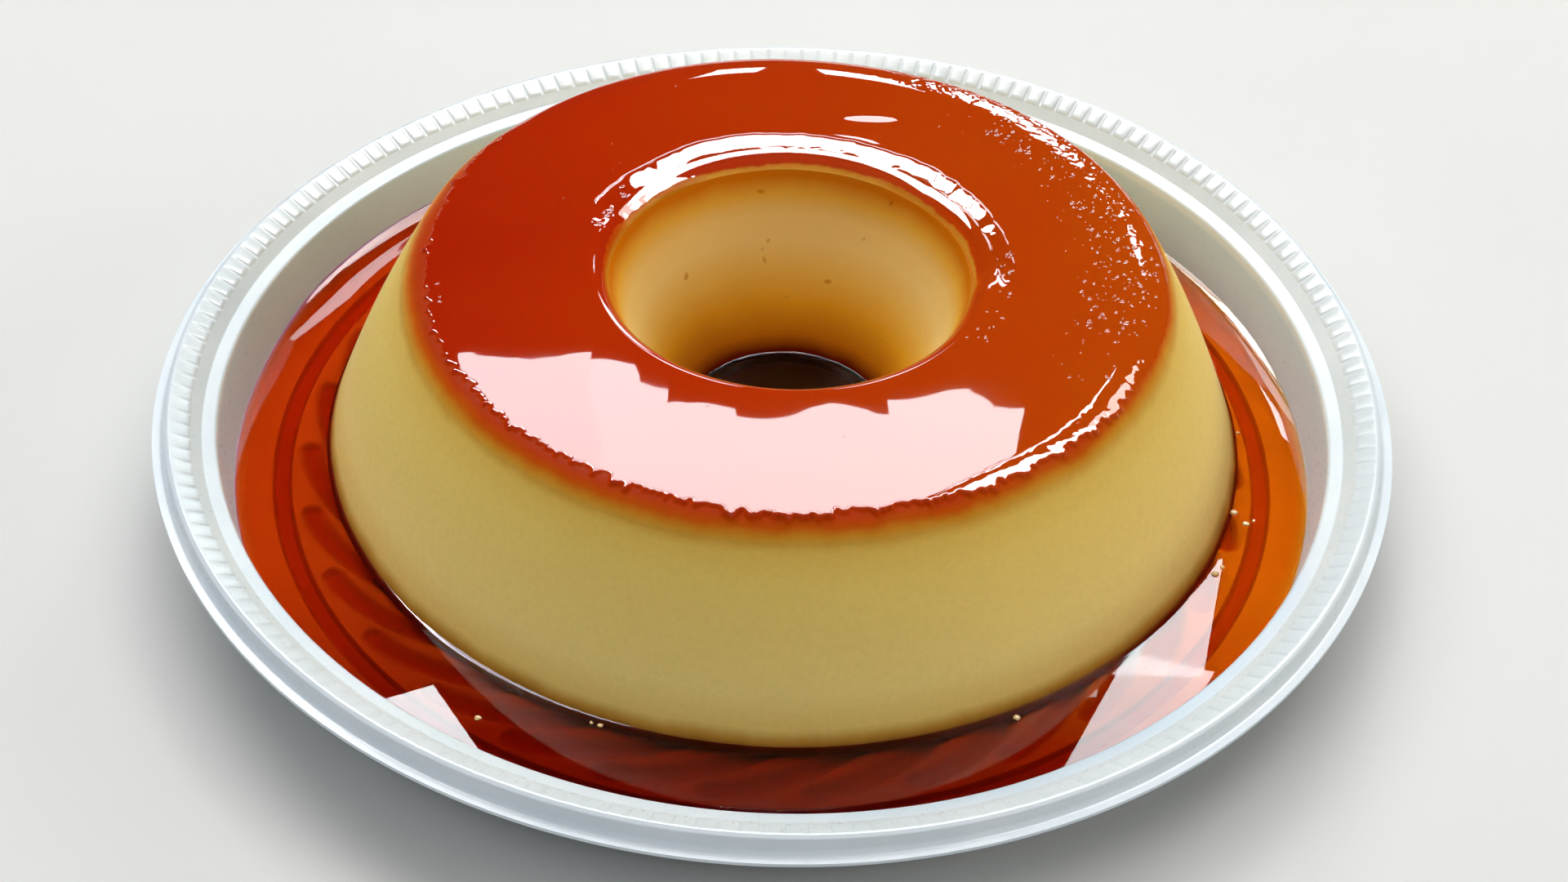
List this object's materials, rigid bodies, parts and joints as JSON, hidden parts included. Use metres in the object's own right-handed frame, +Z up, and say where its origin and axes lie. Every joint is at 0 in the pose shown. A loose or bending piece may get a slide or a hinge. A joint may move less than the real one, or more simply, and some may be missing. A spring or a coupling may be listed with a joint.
{
  "type": "creme caramel flan on its plate",
  "caption": "Ring-shaped creme caramel flan turned out of its mould onto a round disposable plate, with a glossy caramel top and thin syrup pooled round it and in its hole.",
  "frame": {"origin": "under the middle of the plate, on the surface that the plate stands on", "axes": "+Z up, -Y towards the front of the plate, +X to its right; the flan sits 9.5 mm behind and 2.5 mm right of the plate's middle"},
  "size_m": [0.26, 0.26, 0.048],
  "materials": {
    "white_plastic": "smooth white vacuum-formed plastic, satin gloss",
    "custard": "moist set custard, satin, faintly grained",
    "caramel": "wet caramel, mirror gloss",
    "syrup": "clear amber-red liquid caramel, mirror gloss"
  },
  "bodies": {
    "root": {"plate": "white_plastic", "flan": "custard", "caramel_top": "caramel", "syrup_pool": "syrup", "syrup_well": "syrup"}
  },
  "joints": []
}
